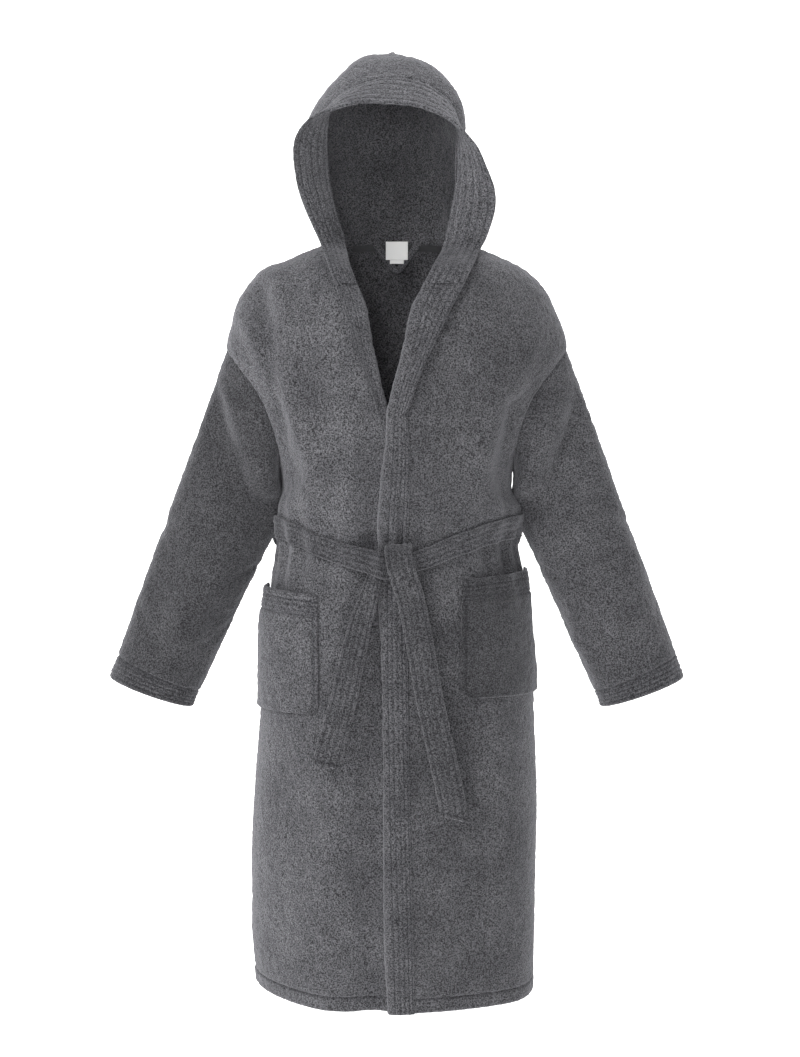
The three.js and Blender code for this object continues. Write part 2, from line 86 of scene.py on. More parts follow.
world = bpy.data.worlds.new("studio")
world.use_nodes = True
world.node_tree.nodes["Background"].inputs["Color"].default_value = (1, 1, 1, 1)
world.node_tree.nodes["Background"].inputs["Strength"].default_value = 0.22
bpy.context.scene.world = world


def paper(name, corners):
    """A flat sheet of white paper through four corners."""
    bm = bmesh.new()
    bm.faces.new([bm.verts.new(c) for c in corners])
    mesh = bpy.data.meshes.new(name)
    bm.to_mesh(mesh)
    bm.free()
    item = bpy.data.objects.new(name, mesh)
    bpy.context.scene.collection.objects.link(item)
    material = bpy.data.materials.new(name)
    material.use_nodes = True
    shader = material.node_tree.nodes["Principled BSDF"]
    shader.inputs["Base Color"].default_value = (0.9, 0.9, 0.9, 1)
    shader.inputs["Roughness"].default_value = 0.9
    shader.inputs["Emission Color"].default_value = (1, 1, 1, 1)
    shader.inputs["Emission Strength"].default_value = 0.9
    mesh.materials.append(material)


paper("floor", [
    (-FLOOR_REACH, -FLOOR_REACH, FLOOR_Z), (FLOOR_REACH, -FLOOR_REACH, FLOOR_Z),
    (FLOOR_REACH, FLOOR_REACH, FLOOR_Z), (-FLOOR_REACH, FLOOR_REACH, FLOOR_Z),
])
paper("backdrop", [
    (-FLOOR_REACH, BACKDROP_Y, FLOOR_Z), (FLOOR_REACH, BACKDROP_Y, FLOOR_Z),
    (FLOOR_REACH, BACKDROP_Y, BACKDROP_TOP), (-FLOOR_REACH, BACKDROP_Y, BACKDROP_TOP),
])

# ---- Back panel ----
# One piece of looped cotton towelling from the neck seam to the hem, cut with a deep armhole on
# each side. The cloth is 4 mm thick with its loops and hangs from the shoulders.
PILE = 0.004
ROUND = 2 / 2.2  # the body's level sections are a little squarer than ellipses
# Height of a level, half its width, and its depth in front and behind.
LEVELS = np.array([
    (-1.150, 0.219, 0.146, 0.152), (-1.040, 0.223, 0.146, 0.152), (-0.900, 0.224, 0.141, 0.148),
    (-0.740, 0.217, 0.132, 0.140), (-0.600, 0.204, 0.122, 0.128), (-0.505, 0.189, 0.114, 0.118),
    (-0.445, 0.184, 0.112, 0.114), (-0.352, 0.180, 0.119, 0.122), (-0.260, 0.222, 0.121, 0.126),
    (-0.166, 0.262, 0.116, 0.122), (-0.104, 0.243, 0.107, 0.116), (-0.070, 0.226, 0.099, 0.110),
    (-0.042, 0.195, 0.088, 0.103), (-0.020, 0.150, 0.070, 0.094), (-0.005, 0.112, 0.046, 0.084),
])
HEM_Z, NECK_Z = LEVELS[0, 0], LEVELS[-1, 0]
ARMPIT_Z, ARMHOLE_Z = LEVELS[7, 0], LEVELS[9, 0]
ARMHOLE_DEPTH = 0.060
WAIST_Z = -0.470  # where the belt draws the cloth in
HEM_DIP, NAPE_RISE = 0.011, 0.016  # the hem is lower in front, and the neck seam higher behind
HEM_HEIGHT = 0.020
BACK_CELL = 0.0042  # mesh size of the back, and of the other large pieces
CELL = 0.0036
LOOSE_BELOW = -0.03  # the cloth lies smooth above this height, at the neck seam
# Depths of the folds: gathers at the belt, the cloth that blouses over it, long flutes of the
# skirt, broad swells, small wrinkles, creases from the armpits, and the fullness beside them.
GATHERS, PULLED_IN, BLOUSE, FLUTES = 0.0032, 0.004, 0.005, 0.0055
SWELLS, WRINKLES, CREASES, FULLNESS, SHOULDER_FULLNESS = 0.006, 0.0028, 0.007, 0.006, 0.009
RIGHT_CREASE = ((-0.206, -0.085), (-0.172, -0.285))  # ends of the creases, seen from in front
LEFT_CREASE = ((0.172, -0.255), (0.166, -0.385))
GROOVE_SHADE_DEPTH = 0.0014  # a groove this deep gets the full painted shade


def smooth(t):
    """0 below 0, 1 above 1, and a soft step between."""
    t = np.clip(t, 0, 1)
    return t * t * (3 - 2 * t)


def ridge(t):
    """1 at 0, falling softly to 0 at 1 and -1."""
    return 1 - smooth(np.abs(t))


def curve(points):
    """A smooth y(x) through points given in order of x. y may have several columns."""
    points = np.asarray(points, float)
    xs, ys = points[:, 0], points[:, 1:]
    ends = np.arange(len(xs))
    before, after = np.maximum(ends - 1, 0), np.minimum(ends + 1, len(xs) - 1)
    slopes = (ys[after] - ys[before]) / (xs[after] - xs[before])[:, None]

    def value(x):
        x = np.clip(x, xs[0], xs[-1])
        i = np.clip(np.searchsorted(xs, x) - 1, 0, len(xs) - 2)
        step = (xs[i + 1] - xs[i])
        t = ((x - xs[i]) / step)[..., None]
        step = step[..., None]
        bends = (2 * t**3 - 3 * t**2 + 1) * ys[i] + (t**3 - 2 * t**2 + t) * step * slopes[i]
        bends += (3 * t**2 - 2 * t**3) * ys[i + 1] + (t**3 - t**2) * step * slopes[i + 1]
        return bends[..., 0] if bends.shape[-1] == 1 else bends

    return value


level = curve(LEVELS)
LUMPS = np.random.default_rng(11).uniform(-1, 1, (32, 32, 32))


def lumps(points, size):
    """Smooth random lumps of about this size, from -1 to 1, that stay where they are in space."""
    cell = np.floor(points / size).astype(int)
    t = points / size - cell
    t = t * t * (3 - 2 * t)
    total = np.zeros(len(points))
    for corner in np.ndindex(2, 2, 2):
        weight = np.prod(np.where(corner, t, 1 - t), axis=1)
        x, y, z = ((cell + corner) % 32).T
        total += weight * LUMPS[x, y, z]
    return total


def body(z, angle, behind):
    """A point of the robe's body. Angle 0 is its right side, a quarter turn the middle."""
    _, width, front, back = np.moveaxis(np.concatenate([z[..., None], level(z)], -1), -1, 0)
    c, s = np.cos(angle), np.maximum(np.sin(angle), 0)
    x = -np.sign(c) * width * np.abs(c) ** ROUND
    y = (back if behind else -front) * s**ROUND
    dip = 0 if behind else HEM_DIP * s * np.clip((LEVELS[1, 0] - z) / (LEVELS[1, 0] - HEM_Z), 0, 1)
    rise = NAPE_RISE * s * smooth((z + 0.070) / 0.065) if behind else 0
    return np.stack([x, y, z - dip + rise], -1)


def side_angle(z, behind):
    """The angle at which a panel ends: at the side seam, or at the armhole's edge."""
    share = np.clip((z - ARMPIT_Z) / (ARMHOLE_Z - ARMPIT_Z), 0, 1)
    depth = ARMHOLE_DEPTH * np.sqrt(4 * share * (1 - share))
    return np.arcsin(np.clip(depth / level(z)[..., 2 if behind else 1], 0, 1) ** (1 / ROUND))


def angle_at(z, x):
    """The angle at which the body's front or back lies at x."""
    share = np.clip(-x / level(z)[..., 0], -1, 1)
    return np.arccos(np.sign(share) * np.abs(share) ** (1 / ROUND))


# Heights spread evenly along the slope of the side and the shoulder.
slope_z = np.linspace(HEM_Z, NECK_Z, 600)
slope_run = np.concatenate([[0], np.cumsum(np.hypot(np.diff(slope_z), np.diff(level(slope_z)[:, 0])))])


def height(v, bottom, top):
    """The height at v, evenly along the slope between two heights."""
    low, high = np.interp([bottom, top], slope_z, slope_run)
    return np.interp(low + (high - low) * v, slope_run, slope_z)


def from_segment(x, z, a, b):
    """The distance from the line between two points (x, z), seen from in front."""
    (ax, az), (bx, bz) = a, b
    length2 = (bx - ax) ** 2 + (bz - az) ** 2
    share = np.clip(((x - ax) * (bx - ax) + (z - az) * (bz - az)) / length2, 0, 1)
    return np.hypot(x - ax - share * (bx - ax), z - az - share * (bz - az))


def from_armhole(p):
    """The distance from the armhole, seen from in front."""
    top, bottom = (level(ARMHOLE_Z)[0], ARMHOLE_Z), (level(ARMPIT_Z)[0], ARMPIT_Z)
    return from_segment(np.abs(p[:, 0]), p[:, 2], top, bottom)


def near_armhole(p):
    """0 on the armhole's edge, where the sleeve is sewn on, and 1 away from it."""
    return smooth((from_armhole(p) - 0.022) / 0.035)


def drape(p, out):
    """Soft folds of the body's cloth, as a move along out."""
    x, y, z = p.T
    turn = np.arctan2(x, -y)
    near_belt = ridge((z - WAIST_Z) / 0.17)
    gathers = np.sin(turn * 23 + 2.2 * np.sin(turn * 5) + z * 9) * GATHERS * near_belt**2
    pulled_in = -PULLED_IN * ridge((z - WAIST_Z) / 0.05)
    blouse = BLOUSE * ridge((z - WAIST_Z - 0.085) / 0.085)
    skirt = smooth((WAIST_Z - 0.05 - z) / 0.5)
    flutes = FLUTES * skirt * np.sin(turn * 7 + 0.8 * np.sin(turn * 3 + 1) + 0.6)
    loose = smooth((LOOSE_BELOW - z) / 0.1)
    swell = SWELLS * lumps(p * (1, 1, 0.6) + 3, 0.16) * loose
    wrinkle = WRINKLES * lumps(p * (1, 1, 0.8) + 9, 0.055) * loose
    underarm = np.minimum(from_segment(x, z, *RIGHT_CREASE), from_segment(x, z, *LEFT_CREASE))
    crease = -CREASES * ridge(underarm / 0.022) * (y < 0)
    full_chest = FULLNESS * ridge((underarm - 0.035) / 0.03) * (y < 0)
    beside_armhole = ridge((from_armhole(p) - 0.055) / 0.035)
    full_chest += SHOULDER_FULLNESS * beside_armhole * np.maximum(-out[:, 1], 0) ** 3
    total = gathers + pulled_in + blouse + flutes + swell + wrinkle + crease + full_chest
    return p + out * (total * near_armhole(p))[:, None]


def pile(p):
    """The uneven height of the loops."""
    return 0.0006 * lumps(p, 0.0075) + 0.0008 * lumps(p + 5, 0.0050)


def normals(shape, u, v):
    """The way out of a surface, which is where u turned towards v points."""
    step = 1e-3
    across = shape(np.minimum(u + step, 1), v) - shape(np.maximum(u - step, 0), v)
    along = shape(u, np.minimum(v + step, 1)) - shape(u, np.maximum(v - step, 0))
    out = np.cross(across, along)
    return out / np.maximum(np.linalg.norm(out, axis=-1, keepdims=True), 1e-12)


def make_sheet(
    name, shape, cell=CELL, thickness=PILE, lift=0.0, edge=0.003, relief=None, folds=None, rough=1.0,
    stitched_inside=0.5,
):
    """A slab of cloth bent onto shape(u, v), with soft edges and the height of its loops.

    lift and thickness are sizes or functions of u and v, and folds moves the finished surface.
    relief(across, along, width, length) gives the depth of stitched grooves, in metres.
    The piece carries its flat size, its flat area, a UV map in metres and the groove depth, for painted
    shade.
    """
    line = np.linspace(0, 1, 81)
    mesh_u, mesh_v = np.meshgrid(line, line, indexing="ij")
    points = shape(mesh_u.ravel(), mesh_v.ravel()).reshape(len(line), len(line), 3)
    width = np.linalg.norm(np.diff(points, axis=0), axis=-1).sum(0)
    length = np.linalg.norm(np.diff(points, axis=1), axis=-1).sum(1)
    patches = np.cross(np.diff(points, axis=0)[:, :-1], np.diff(points, axis=1)[:-1])
    area = np.linalg.norm(patches, axis=-1)
    columns, rows = (max(2, round(float(side.max()) / cell)) for side in (width, length))

    bm = bmesh.new()
    bmesh.ops.create_grid(bm, x_segments=columns, y_segments=rows, size=0.5)
    extruded = bmesh.ops.extrude_face_region(bm, geom=bm.faces[:])["geom"]
    top = [item for item in extruded if isinstance(item, bmesh.types.BMVert)]
    bmesh.ops.translate(bm, verts=top, vec=(0, 0, 1))
    mesh = bpy.data.meshes.new(name)
    bm.to_mesh(mesh)
    bm.free()

    flat = np.zeros(len(mesh.vertices) * 3)
    mesh.vertices.foreach_get("co", flat)
    u, v, outer = (flat.reshape(-1, 3) + (0.5, 0.5, 0)).T
    u, v = np.clip(u, 0, 1), np.clip(v, 0, 1)
    wide, long = float(width.mean()), float(length.mean())
    to_edge = np.minimum(np.minimum(u, 1 - u) * wide, np.minimum(v, 1 - v) * long)
    fullness = np.sqrt(1 - (1 - np.clip(to_edge / edge, 0, 1)) ** 2) * 0.85 + 0.15
    base, out = shape(u, v), normals(shape, u, v)
    groove = relief(u * wide, v * long, wide, long) if relief else np.zeros(len(u))
    raised = lift(u, v) if callable(lift) else lift
    thick = thickness(u, v) if callable(thickness) else thickness
    middle = raised - thick / 2
    half = thick / 2 * fullness
    outside = middle + half - groove + rough * pile(base)
    inside = middle - half + groove * stitched_inside - rough * pile(base + 1)
    base = folds(base, out) if folds else base
    place = base + out * np.where(outer > 0.5, outside, inside)[:, None]
    mesh.vertices.foreach_set("co", place.ravel())
    mesh.update()

    bm = bmesh.new()
    bm.from_mesh(mesh)
    bmesh.ops.recalc_face_normals(bm, faces=bm.faces[:])
    bm.to_mesh(mesh)
    bm.free()
    corner = np.zeros(len(mesh.loops), int)
    mesh.loops.foreach_get("vertex_index", corner)
    uv = mesh.uv_layers.new(name="cloth")
    uv.data.foreach_set("uv", np.stack([u * wide, v * long], -1)[corner].ravel())
    # The groove depth also sets the painted shade in the grooves' colour.
    depth = mesh.attributes.new("groove", "FLOAT", "POINT")
    depth.data.foreach_set("value", np.clip(groove / GROOVE_SHADE_DEPTH, 0, 1).astype(np.float32))
    mesh.polygons.foreach_set("use_smooth", np.ones(len(mesh.polygons), bool))
    piece = bpy.data.objects.new(name, mesh)
    bpy.context.scene.collection.objects.link(piece)
    piece["flat"] = [float(width.max()), float(length.max())]
    piece["area"] = float(area.sum())
    return piece


# The loops' fine speckle: painted shade in the gaps between loops and painted light on their tips.
PAINTED_SHADE_BETWEEN_LOOPS = (0.010, 0.010, 0.011, 1)
PAINTED_LIGHT_ON_LOOP_TIPS = (0.172, 0.171, 0.183, 1)
FLATTENED_NAP = (0.60, 0.60, 0.61, 1)
# Painted shade in the stitched grooves, darkest where a groove is deepest.
PAINTED_GROOVE_SHADE = (0.40, 0.40, 0.42, 1)


def multiply(nodes, links, first, second):
    """A node that multiplies two colours."""
    mix = nodes.new("ShaderNodeMix")
    mix.data_type = "RGBA"
    mix.blend_type = "MULTIPLY"
    mix.inputs["Factor"].default_value = 1
    links.new(first, mix.inputs[6])
    if second:
        links.new(second, mix.inputs[7])
    return mix


def towelling(name):
    """Looped cotton: painted shade between loops, painted light on their tips, nap in cloudy patches.
    """
    material = bpy.data.materials.new(name)
    material.use_nodes = True
    nodes, links = material.node_tree.nodes, material.node_tree.links
    shader = nodes["Principled BSDF"]
    where = nodes.new("ShaderNodeTexCoord")
    loops = nodes.new("ShaderNodeTexVoronoi")
    loops.inputs["Scale"].default_value = 430
    clumps = nodes.new("ShaderNodeTexNoise")
    clumps.inputs["Scale"].default_value = 470
    clumps.inputs["Detail"].default_value = 3
    clumps.inputs["Roughness"].default_value = 0.7
    clouds = nodes.new("ShaderNodeTexNoise")
    clouds.inputs["Scale"].default_value = 16
    clouds.inputs["Detail"].default_value = 6
    clouds.inputs["Roughness"].default_value = 0.68
    for texture in (loops, clumps, clouds):
        links.new(where.outputs["Object"], texture.inputs["Vector"])
    # Fine speckle of the loops, with painted shade between them and painted light on their tips.
    speckle = nodes.new("ShaderNodeValToRGB")
    speckle.color_ramp.elements[0].position = 0.40
    speckle.color_ramp.elements[0].color = PAINTED_SHADE_BETWEEN_LOOPS
    speckle.color_ramp.elements[1].position = 0.62
    speckle.color_ramp.elements[1].color = PAINTED_LIGHT_ON_LOOP_TIPS
    links.new(clumps.outputs["Fac"], speckle.inputs["Fac"])
    shade = nodes.new("ShaderNodeValToRGB")
    shade.color_ramp.elements[0].position = 0.34
    shade.color_ramp.elements[0].color = FLATTENED_NAP
    shade.color_ramp.elements[1].position = 0.66
    shade.color_ramp.elements[1].color = (1, 1, 1, 1)
    links.new(clouds.outputs["Fac"], shade.inputs["Fac"])
    # Painted light and shade by piece: the colour is scaled by each piece's own factor.
    painted_light_factor = nodes.new("ShaderNodeAttribute")
    painted_light_factor.attribute_name = "painted_light"
    groove = nodes.new("ShaderNodeAttribute")
    groove.attribute_name = "groove"
    mottled = multiply(nodes, links, speckle.outputs["Color"], shade.outputs["Color"])
    with_painted_light = multiply(nodes, links, mottled.outputs[2], painted_light_factor.outputs["Fac"])
    # Painted shade in the stitched grooves: the colour darkens with each groove's depth.
    stitched = multiply(nodes, links, with_painted_light.outputs[2], None)
    stitched.inputs[7].default_value = PAINTED_GROOVE_SHADE
    links.new(groove.outputs["Fac"], stitched.inputs["Factor"])
    links.new(stitched.outputs[2], shader.inputs["Base Color"])
    bump = nodes.new("ShaderNodeBump")
    bump.inputs["Strength"].default_value = 1.0
    bump.inputs["Distance"].default_value = 0.0016
    rough = nodes.new("ShaderNodeMix")
    rough.inputs["Factor"].default_value = 0.5
    links.new(loops.outputs["Distance"], rough.inputs[2])
    links.new(clumps.outputs["Fac"], rough.inputs[3])
    links.new(rough.outputs[0], bump.inputs["Height"])
    links.new(bump.outputs["Normal"], shader.inputs["Normal"])
    shader.inputs["Roughness"].default_value = 0.95
    shader.inputs["Specular IOR Level"].default_value = 0.15
    shader.inputs["Sheen Weight"].default_value = 0.35
    shader.inputs["Sheen Roughness"].default_value = 0.55
    shader.inputs["Sheen Tint"].default_value = (0.75, 0.75, 0.8, 1)
    return material


TERRY = towelling("charcoal_towelling")

# Painted light and shade: each piece's colour is brightened or darkened for how light falls on it.
PAINTED_LIGHT_BY_PIECE = {
    "front_panel_left": 0.78, "front_band_left": 0.92, "hem_left": 0.78, "pocket_left": 0.48,
    "pocket_hem_left": 0.50, "sleeve_right": 0.60, "cuff_right": 0.66, "sleeve_left": 0.78,
    "cuff_left": 0.82, "belt_end_left": 0.70, "belt_end_right": 0.76, "belt_waist": 0.82,
    "back_panel": 1.15, "hanging_loop": 1.25,
}


def sew(piece, material, bodies, node, bend=None):
    """Gives a piece its cloth, hides its CAD node, and ties it to its body only if it has no bend."""
    # Paints the piece's light and shade into its colour, by its factor.
    painted_light = piece.data.attributes.new("painted_light", "FLOAT", "POINT")
    painted_light.data.foreach_set("value", np.full(len(piece.data.vertices), PAINTED_LIGHT_BY_PIECE.get(node, 1.0), np.float32))
    piece.data.materials.append(material)
    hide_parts(node)
    if bend:
        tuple(bend[0])
        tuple(bend[1])
        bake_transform(piece)
    else:
        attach(piece, bodies)


def back_between(bottom, top):
    """The back's surface between two heights, from its left edge to its right one."""
    def shape(u, v):
        z = height(v, bottom, top)
        edge = side_angle(z, True)
        return body(z, math.pi - edge + (2 * edge - math.pi) * u, True)
    return shape


back = make_sheet(
    "back_panel_cloth", back_between(HEM_Z + HEM_HEIGHT, NECK_Z), cell=BACK_CELL, folds=drape,
)
sew(back, TERRY, "robe", "back_panel")

# ---- Front panels ----
# The two fronts, of the same towelling, sewn to the back at the sides and shoulders. The left one
# laps over the right one, whose edge is hidden 13 mm deeper under it.
UNDERLAP_TUCK = 0.013
TUCK_TOP_Z, TUCK_FULL_Z = -0.190, -0.254  # it starts below the first and is full below the second
TUCK_START, TUCK_RUN = 0.055, 0.049  # before the left front's edge
PANEL_INSET = 0.012  # from the roll of a front edge to the panel's own edge, under the band
# Where each front edge rolls over, by height.
left_roll = curve([
    (-1.161, -0.018), (-0.820, -0.026), (-0.480, -0.029), (-0.310, -0.019), (-0.257, -0.015),
    (-0.183, 0.006), (-0.109, 0.021), (-0.078, 0.035), (-0.029, 0.059), (0, 0.074),
])
right_roll = curve([
    (-1.161, 0.060), (-0.420, 0.049), (-0.340, 0.022), (-0.257, -0.010), (-0.172, -0.032),
    (-0.103, -0.044), (-0.048, -0.065), (0, -0.080),
])


def tuck(p):
    """Sinks the right front's underlap below the left front."""
    x, z = p[..., 0], p[..., 2]
    low = 1 - smooth((z - TUCK_FULL_Z) / (TUCK_TOP_Z - TUCK_FULL_Z))
    across = smooth((x - left_roll(z) + TUCK_START) / TUCK_RUN)
    p[..., 1] += UNDERLAP_TUCK * low * across
    return p


def front_right(bottom, top):
    def shape(u, v):
        z = height(v, bottom, top)
        start, end = side_angle(z, False), angle_at(z, right_roll(z) - PANEL_INSET)
        return tuck(body(z, start + (end - start) * u, False))
    return shape


def front_left(bottom, top):
    def shape(u, v):
        z = height(v, bottom, top)
        start, end = angle_at(z, left_roll(z) + PANEL_INSET), math.pi - side_angle(z, False)
        return body(z, start + (end - start) * u, False)
    return shape


for name, shape in (("right", front_right), ("left", front_left)):
    front = make_sheet(f"front_panel_{name}_cloth", shape(HEM_Z + HEM_HEIGHT, NECK_Z), folds=drape)
    sew(front, TERRY, "robe", f"front_panel_{name}")

# ---- Hems ----
# The lower edge of each panel is turned up 20 mm and stitched down, which leaves a shallow groove
# along its top and a thicker rounded lower edge.
BANDS = towelling("stitched_towelling")


def rows(position, places, width=0.0018, depth=0.0013):
    """The depth of stitched grooves at these places."""
    return sum(depth * ridge((position - place) / width) for place in places)


def hem_relief(across, along, wide, long):
    return rows(along, [long - 0.0015], 0.0024, 0.0012)


for name, shape, panel in (
    ("back", back_between, "back_panel"), ("right", front_right, "front_panel_right"),
    ("left", front_left, "front_panel_left"),
):
    hem = make_sheet(
        f"hem_{name}_cloth", shape(HEM_Z, HEM_Z + HEM_HEIGHT + 0.001), cell=0.0026, thickness=0.0052,
        lift=0.0006, relief=hem_relief, folds=drape,
    )
    sew(hem, BANDS, "robe", f"hem_{name}")

# ---- Front bands ----
# A folded facing along each front edge, stitched down in five rows. The edge itself is rolled
# under. Above the closure the bands turn outwards as lapels, up to a cross seam below the hood.
BAND_WIDTH = 0.045
BAND_THICKNESS = 0.0034
BAND_TOP = -0.069
BAND_INSET = 0.010  # from the roll of a front edge to where the band starts to roll under
SEAM_OVERLAP = 0.003  # the band's top lies this far under the hood band
ROLL = 0.0022
LAPEL_Z = -0.29  # the lapels turn over above this height
LAPEL_STAND, LAPEL_THICKENING = 0.0085, 0.0035
BAND_ROWS = (0.17, 0.37, 0.57, 0.76, 0.93)  # shares of the band's width
RIGHT_LAPEL_STAND = 0.008
left_free = curve([
    (-1.161, 0.027), (-0.820, 0.019), (-0.480, 0.016), (-0.330, 0.020), (-0.270, 0.016),
    (-0.241, 0.024), (-0.197, 0.040), (-0.158, 0.058), (-0.108, 0.082), (-0.070, 0.102),
    (-0.015, 0.127), (0, 0.131),
])
right_free = curve([
    (-1.161, 0.015), (-0.420, 0.004), (-0.330, -0.010), (-0.265, -0.030), (-0.227, -0.042),
    (-0.186, -0.056), (-0.129, -0.072), (-0.072, -0.092), (-0.015, -0.113), (0, -0.116),
])


def rolled(strip, width, at_end):
    """The strip with one long edge rolled under by half a turn: that of u = 1 or of u = 0."""
    share = math.pi * ROLL / (width + math.pi * ROLL)

    def shape(u, v):
        u = u if at_end else 1 - u
        s = np.minimum(u / (1 - share), 1)
        turn = np.clip((u - 1 + share) / share, 0, 1)[..., None] * math.pi
        s = s if at_end else 1 - s
        p = strip(s, v)
        out = normals(strip, s, v)
        step = 1e-3 if at_end else -1e-3
        across = strip(s, v) - strip(s - step, v)
        across /= np.linalg.norm(across, axis=-1, keepdims=True)
        return p + ROLL * (across * np.sin(turn) - out * (1 - np.cos(turn)))
    return shape


def right_band(u, v):
    z = height(v, HEM_Z, BAND_TOP + SEAM_OVERLAP)
    start, end = angle_at(z, right_free(z)), angle_at(z, right_roll(z) - BAND_INSET)
    return tuck(body(z, start + (end - start) * u, False))


def left_band(u, v):
    z = height(v, HEM_Z, BAND_TOP + SEAM_OVERLAP)
    start, end = angle_at(z, left_roll(z) + BAND_INSET), angle_at(z, left_free(z))
    return body(z, start + (end - start) * u, False)


def band_relief(rolled_at_end):
    """Rows of stitches along the band, beside its rolled edge."""
    def relief(across, along, wide, long):
        share = 1 - across / wide if rolled_at_end else across / wide
        share = (share - 0.13) / 0.87
        return rows(share * wide, [place * wide for place in BAND_ROWS])
    return relief


def lapel_lift(at_end):
    """The lapel's free edge stands off the chest, on the right one most at its middle."""
    def lift(u, v):
        z = height(v, HEM_Z, BAND_TOP + SEAM_OVERLAP)
        free = 1 - u if at_end else u
        stand = LAPEL_STAND * smooth((z - LAPEL_Z) / 0.08)
        stand += RIGHT_LAPEL_STAND * at_end * ridge((z + 0.17) / 0.09)
        return BAND_THICKNESS + stand * free**2
    return lift


def lapel_thickness(at_end):
    """The lapel's free edge is folded twice, so it is thicker."""
    def thickness(u, v):
        z = height(v, HEM_Z, BAND_TOP + SEAM_OVERLAP)
        free = 1 - u if at_end else u
        turned = smooth((z - LAPEL_Z) / 0.08)
        return BAND_THICKNESS + LAPEL_THICKENING * turned * smooth((free - 0.8) / 0.1)
    return thickness


for name, strip, at_end in (("right", right_band, True), ("left", left_band, False)):
    band = make_sheet(
        f"front_band_{name}_cloth", rolled(strip, BAND_WIDTH, at_end), cell=0.0022,
        thickness=lapel_thickness(at_end), lift=lapel_lift(at_end), relief=band_relief(at_end),
        folds=drape,
    )
    sew(
        band, BANDS, "robe",
        f"front_band_{name}",
    )

# ---- Sleeves ----
# Each sleeve is one piece of towelling with a seam under the arm, set on the dropped shoulder. It
# hangs in soft long folds. The cuff is a 34 mm facing with five stitched rows.
CUFF_CENTRE = (0.379, -0.028, -0.692)
CUFF_HALF_WIDTH, CUFF_HALF_DEPTH = 0.068, 0.050
CUFF_SLOPE = math.radians(20)
SEAM_SHARE = -0.006  # the sleeve starts this far under the armhole's edge, as a share of its length
CUFF_SHARE = 0.932  # where the cuff starts
SLEEVE_SAG = {-1: 0.030, 1: 0.023}  # at the seam under each arm
ELBOW_FOLDS = ((0.42, 0.0016, 0.9), (0.50, 0.0018, -0.7), (0.60, 0.0014, 1.2))


def armhole(turn, side):
    """The armhole's edge. Turn 0 is its top and half a turn the armpit, and the front comes first."""
    z = ARMHOLE_Z + (ARMPIT_Z - ARMHOLE_Z) * (1 - np.cos(turn)) / 2
    size = level(z)
    depth = ARMHOLE_DEPTH * np.abs(np.sin(turn))
    whole = np.where(np.sin(turn) < 0, size[..., 2], size[..., 1])
    angle = np.arcsin(np.clip(depth / whole, 0, 1) ** (1 / ROUND))
    x = side * size[..., 0] * np.cos(angle) ** ROUND
    return np.stack([x, -ARMHOLE_DEPTH * np.sin(turn), z], -1)


def sleeve(side, low, high):
    """The sleeve's surface from share high, at v = 0, up to share low, at v = 1."""
    def shape(u, v):
        u = 1 - u if side < 0 else u
        turn = math.pi - 2 * math.pi * u
        share = (high + (low - high) * v)[..., None]
        across = CUFF_HALF_WIDTH * np.cos(turn)
        end = np.stack([
            side * (CUFF_CENTRE[0] + across * math.cos(CUFF_SLOPE)),
            CUFF_CENTRE[1] - CUFF_HALF_DEPTH * np.sin(turn),
            CUFF_CENTRE[2] + across * math.sin(CUFF_SLOPE),
        ], -1)
        p = armhole(turn, side) * (1 - share) + end * share
        under = ((1 - np.cos(turn)) / 2)[..., None] ** 2
        drawn_in = smooth(share / 0.16) * np.clip(1.1 - share / 0.88, 0, 1)
        sag = SLEEVE_SAG[side] * drawn_in * under
        return p + sag * np.array([-0.93 * side, 0, -0.36])
    return shape


def sleeve_folds(side):
    """Long soft folds from the shoulder, and short ones across the elbow."""
    start = np.array([side * 0.221, 0, -0.259])
    way = np.array([side * 0.158, -0.028, -0.433])
    length = np.linalg.norm(way)
    way = way / length

    def folds(p, out):
        along = (p - start) @ way
        long = p - 0.62 * along[:, None] * way
        held = smooth((length + 0.012 - along) / 0.09)
        front = smooth((-p[:, 1] - 0.012) / 0.035)
        amount = 0.0075 * lumps(long + (2, 4, 1 + side), 0.055) + 0.0030 * lumps(p + side, 0.035)
        amount *= 0.15 + 0.85 * np.abs(out[:, 1]) ** 1.5
        amount -= 0.016 * ridge((from_armhole(p) - 0.055) / 0.060) * front
        for place, depth, slant in ELBOW_FOLDS:
            wave = along / length - place + slant * 0.16 * (p[:, 1] / 0.06)
            amount -= depth * ridge(wave / 0.035) * (p[:, 1] < 0.02)
        return p + out * (amount * held * near_armhole(p))[:, None]
    return folds


def cuff_relief(across, along, wide, long):
    return rows(along, [0.006, 0.0125, 0.019, 0.0255, long - 0.0015])


for name, side in (("right", -1), ("left", 1)):
    arm = f"sleeve_{name}"
    tube = make_sheet(
        f"{arm}_cloth", sleeve(side, SEAM_SHARE, CUFF_SHARE), folds=sleeve_folds(side), edge=0.001,
    )
    root = (side * 0.226, 0, -0.261)
    elbow = (side * 0.2855, 0, -0.287)
    sew(tube, TERRY, ("robe", arm), arm, (root, elbow))
    cuff = make_sheet(
        f"cuff_{name}_cloth", sleeve(side, CUFF_SHARE, 1.0), cell=0.0024, thickness=0.0048, lift=0.0004,
        relief=cuff_relief, folds=sleeve_folds(side),
    )
    sew(cuff, BANDS, arm, f"cuff_{name}")

# ---- Hood ----
# Two rounded halves of towelling, sewn together over the crown and down the nape, and sewn to the
# neck seam all round.
HOOD_START, HOOD_END = (0, 0.03, -0.015), (0, 0.03, 0.115)
# Each half's roundness: how far it swells outwards and upwards, and how these fall off. The hood
# leans a little to its right.
HOOD_SHAPE = {-1: (0.036, 7.3, 0.024, 2.5, 2.4), 1: (0.010, 4.0, 0.027, 1.86, 1.31)}


def path(points):
    """A smooth curve through points, evenly from 0 to 1."""
    points = np.asarray(points, float)
    run = np.concatenate([[0], np.cumsum(np.linalg.norm(np.diff(points, axis=0), axis=1))])
    return curve(np.column_stack([run / run[-1], points]))


